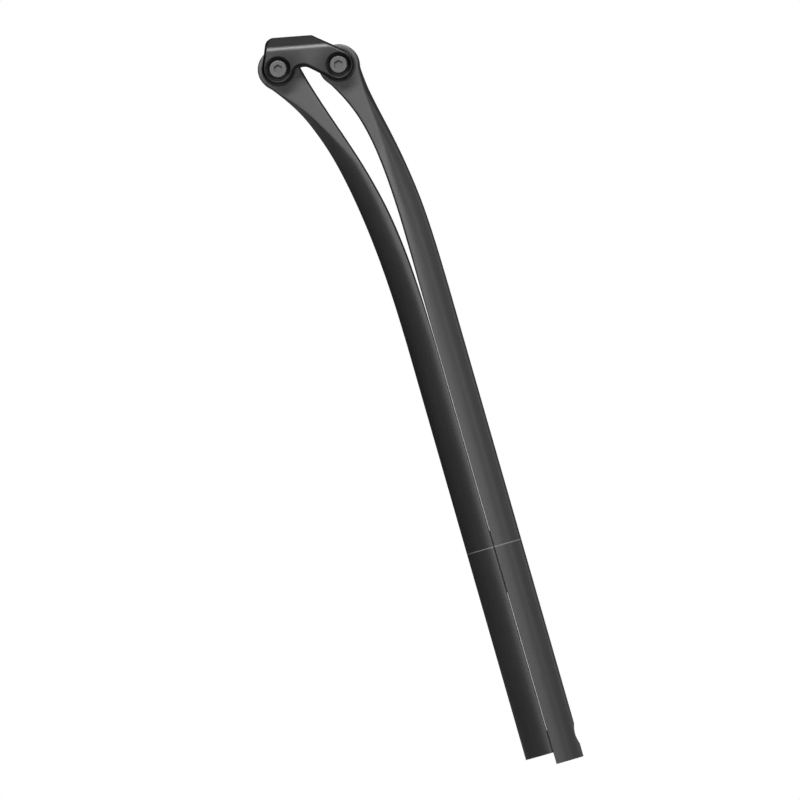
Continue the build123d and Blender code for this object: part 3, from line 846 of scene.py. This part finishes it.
camera_data = bpy.data.cameras.new("camera")
camera_data.lens = LENS
camera_data.sensor_width = SENSOR
camera = bpy.data.objects.new("camera", camera_data)
bpy.context.scene.collection.objects.link(camera)
bpy.context.scene.camera = camera
view_up = Vector((math.sin(POST_LEAN), 0, math.cos(POST_LEAN)))
view_right = Vector((math.cos(POST_LEAN), 0, -math.sin(POST_LEAN)))
to_camera = view_right * math.sin(SIDE_TURN) + Vector((0, -math.cos(SIDE_TURN), 0))
distance = VIEW_WIDTH * LENS / SENSOR
turn = Matrix((view_up.cross(to_camera), view_up, to_camera)).transposed()
camera.matrix_world = Matrix.Translation(AIM + to_camera * distance) @ turn.to_4x4()
camera_data.clip_start = NEAR_CLIP
camera_data.clip_end = FAR_CLIP


def softbox(name, right, up, towards, size, power):
    """A rectangular light that looks at the post, placed from it along the view's own directions.

    Distances and sizes are in metres, and power is in watts.
    """
    data = bpy.data.lights.new(name, "AREA")
    data.shape = "RECTANGLE"
    data.size, data.size_y = size
    data.energy = power
    light = bpy.data.objects.new(name, data)
    bpy.context.scene.collection.objects.link(light)
    offset = view_right * right + view_up * up + to_camera * towards
    light.location = AIM + offset
    light.visible_camera = False
    light.rotation_mode = "QUATERNION"
    light.rotation_quaternion = offset.to_track_quat("Z", "Y")


softbox("key", right=-0.2, up=0.85, towards=1.95, size=(1.2, 0.4), power=56.0)
softbox("front", right=0.45, up=0.0, towards=1.95, size=(2.3, 0.5), power=12.0)
softbox("front_right", right=1.7, up=0.6, towards=1.1, size=(1.3, 0.7), power=3.5)
softbox("top", right=0.0, up=2.0, towards=0.8, size=(1.4, 0.6), power=6.0)
softbox("upper_left", right=-1.3, up=1.2, towards=1.0, size=(0.4, 0.4), power=4.0)
softbox("right_side", right=1.5, up=0.4, towards=0.0, size=(1.5, 1.0), power=2.0)
softbox("right_behind", right=1.3, up=0.3, towards=-1.1, size=(0.5, 1.0), power=1.0)
softbox("high_right", right=1.3, up=1.6, towards=0.2, size=(1.0, 1.0), power=22.0)
softbox("behind_top", right=-0.3, up=1.6, towards=-1.4, size=(1.2, 0.8), power=16.0)

FLOOR_RADIUS = 6.0
FLOOR_GAP = 2 * mm  # under the foot
FLOOR_TONE = 0.3
FILL = 0.024  # the light that comes from all round
floor_middle = (0, 0, FRONT_FOOT - FLOOR_GAP)

# the floor and the backdrop are seen as plain white, and light the post less than they would
nothing_picked()
bpy.ops.mesh.primitive_circle_add(
    vertices=ROUND_SIDES, radius=FLOOR_RADIUS, fill_type="NGON", location=floor_middle
)
floor = fresh("floor")
place_in_mesh(floor)
floor_paint = bpy.data.materials.new("pale_floor")
floor_paint.use_nodes = True
tree = floor_paint.node_tree
tree.nodes.clear()
seen = add(tree, "LightPath").outputs["Is Camera Ray"]
matt_white = add(tree, "BsdfDiffuse", {"Color": grey(FLOOR_TONE)})
shine = add(tree, "Emission", {"Color": grey(1.0), "Strength": 1.0})
both = add(tree, "MixShader", {0: seen, 1: matt_white.outputs[0], 2: shine.outputs[0]})
add(tree, "OutputMaterial", {"Surface": both.outputs[0]})
floor.data.materials.append(floor_paint)

world = bpy.data.worlds.new("studio")
bpy.context.scene.world = world
world.use_nodes = True
tree = world.node_tree
tree.nodes.clear()
seen = add(tree, "LightPath").outputs["Is Camera Ray"]
fill = add(tree, "Background", {"Color": grey(1.0), "Strength": FILL})
backdrop = add(tree, "Background", {"Color": grey(1.0), "Strength": 1.0})
both = add(tree, "MixShader", {0: seen, 1: fill.outputs[0], 2: backdrop.outputs[0]})
add(tree, "OutputWorld", {"Surface": both.outputs[0]})

settings = bpy.context.scene.view_settings
settings.view_transform = "Standard"
settings.look = "None"
